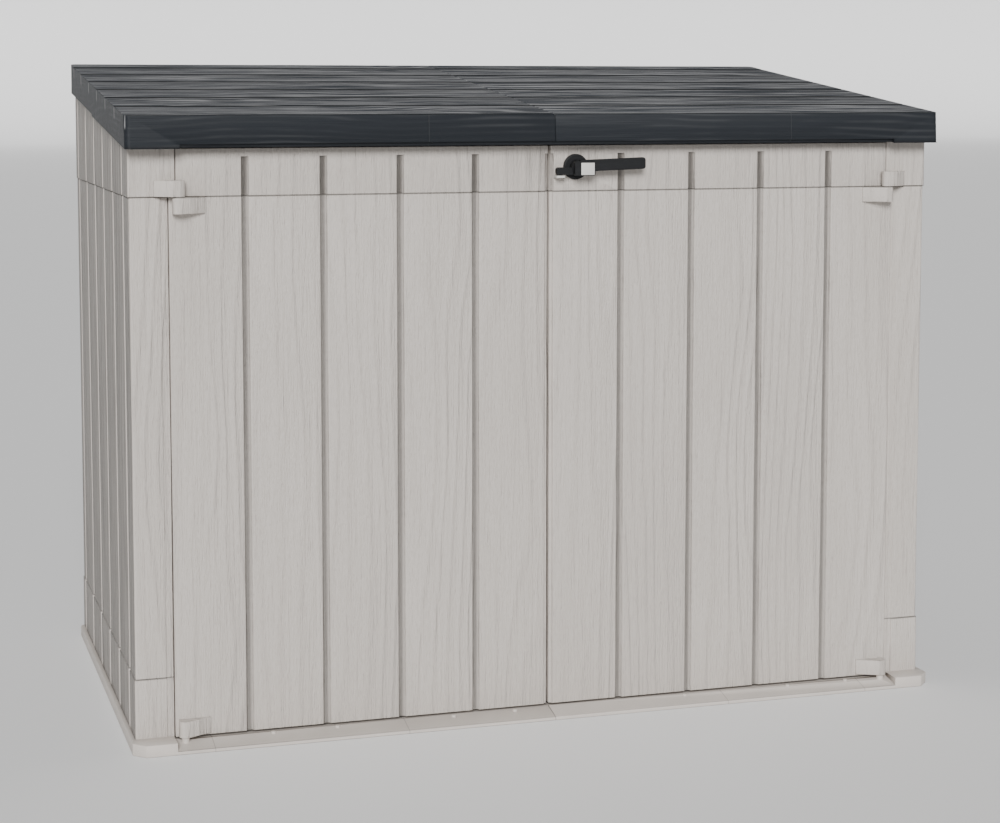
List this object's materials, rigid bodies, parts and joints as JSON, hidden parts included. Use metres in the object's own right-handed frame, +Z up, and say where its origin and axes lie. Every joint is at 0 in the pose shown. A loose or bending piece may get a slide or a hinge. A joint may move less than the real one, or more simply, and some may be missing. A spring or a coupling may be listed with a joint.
{
  "type": "deck storage box",
  "caption": "Outdoor resin storage box with plank-look walls, hinged front doors, a lever latch and a sloping lid held by gas struts.",
  "frame": {"origin": "on the ground under the middle of the floor tray", "axes": "+X across the doors to the right, -Y out of the doors, +Z up"},
  "size_m": [1.455, 0.84, 1.1406],
  "materials": {
    "wall_resin": "moulded wood grain, satin to matte",
    "lid_resin": "moulded wood grain, anthracite, satin",
    "handle_black": "satin black",
    "light_cap": "plain satin light grey",
    "zinc_steel": "zinc plated",
    "strut_black": "black satin paint",
    "strut_chrome": "polished rod"
  },
  "bodies": {
    "cabinet": {"floor_left": "wall_resin", "floor_right": "wall_resin", "side_lower_left": "wall_resin", "side_middle_left": "wall_resin", "side_upper_left": "wall_resin", "side_lower_right": "wall_resin", "side_middle_right": "wall_resin", "side_upper_right": "wall_resin", "back_panel_left": "wall_resin", "back_panel_right": "wall_resin", "back_batten": "wall_resin", "wall_screws": "zinc_steel", "door_hinge_pins": "zinc_steel", "wall_hinge_leaves": "zinc_steel", "lid_hinge_pins": "zinc_steel", "strut_wall_brackets": "zinc_steel"},
    "door_left": {"door_lower_left": "wall_resin", "door_upper_left": "wall_resin", "door_rail_left": "zinc_steel", "door_screws_left": "zinc_steel", "latch_keeper": "zinc_steel", "bolt_guides": "handle_black"},
    "door_right": {"door_lower_right": "wall_resin", "door_upper_right": "wall_resin", "door_rail_right": "zinc_steel", "door_screws_right": "zinc_steel", "escutcheon": "handle_black", "padlock_lug": "light_cap"},
    "lever": {"lever_handle": "handle_black", "lever_cap": "light_cap", "handle_spindle": "zinc_steel", "latch_cam": "zinc_steel", "cam_nut": "zinc_steel"},
    "drop_bolt": {"door_bolt": "zinc_steel"},
    "lid": {"lid_left": "lid_resin", "lid_right": "lid_resin", "lid_joining_strip": "zinc_steel", "lid_screws": "zinc_steel", "lid_hinge_leaves": "zinc_steel", "strut_lid_brackets": "zinc_steel"},
    "strut_tube_left": {"strut_cylinder_left": "strut_black"},
    "strut_tube_right": {"strut_cylinder_right": "strut_black"},
    "strut_piston_left": {"strut_rod_left": "strut_chrome"},
    "strut_piston_right": {"strut_rod_right": "strut_chrome"}
  },
  "joints": [
    {"name": "lid_hinge", "type": "hinge", "parent": "cabinet", "child": "lid", "pos_m": [0, 0.4095, 1.07559], "axis": [-1, 0, 0], "range_deg": [0, 65]},
    {"name": "left_door_hinge", "type": "hinge", "parent": "cabinet", "child": "door_left", "pos_m": [-0.6385, -0.3895, 0.5], "axis": [0, 0, -1], "range_deg": [0, 110]},
    {"name": "right_door_hinge", "type": "hinge", "parent": "cabinet", "child": "door_right", "pos_m": [0.6385, -0.3895, 0.5], "axis": [0, 0, 1], "range_deg": [0, 110]},
    {"name": "lever_turn", "type": "hinge", "parent": "door_right", "child": "lever", "pos_m": [0.047, -0.38, 0.959], "axis": [0, 1, 0], "range_deg": [0, 90]},
    {"name": "bolt_slide", "type": "slide", "parent": "door_left", "child": "drop_bolt", "axis": [0, 0, -1], "range_m": [0, 0.024]},
    {"name": "left_strut_foot", "type": "hinge", "parent": "cabinet", "child": "strut_tube_left", "pos_m": [-0.672, 0.2279, 0.71919], "axis": [-1, 0, 0], "range_deg": [0, 32.5]},
    {"name": "left_strut_head", "type": "hinge", "parent": "lid", "child": "strut_piston_left", "pos_m": [-0.672, 0.01005, 1.05465], "axis": [-1, 0, 0], "range_deg": [-32.5, 0]},
    {"name": "right_strut_foot", "type": "hinge", "parent": "cabinet", "child": "strut_tube_right", "pos_m": [0.672, 0.2279, 0.71919], "axis": [-1, 0, 0], "range_deg": [0, 32.5]},
    {"name": "right_strut_head", "type": "hinge", "parent": "lid", "child": "strut_piston_right", "pos_m": [0.672, 0.01005, 1.05465], "axis": [-1, 0, 0], "range_deg": [-32.5, 0]}
  ],
  "couplings": [
    {"joint": "left_strut_foot", "follows": "lid_hinge", "ratio": 0.5},
    {"joint": "left_strut_head", "follows": "lid_hinge", "ratio": -0.5},
    {"joint": "right_strut_foot", "follows": "lid_hinge", "ratio": 0.5},
    {"joint": "right_strut_head", "follows": "lid_hinge", "ratio": -0.5}
  ]
}
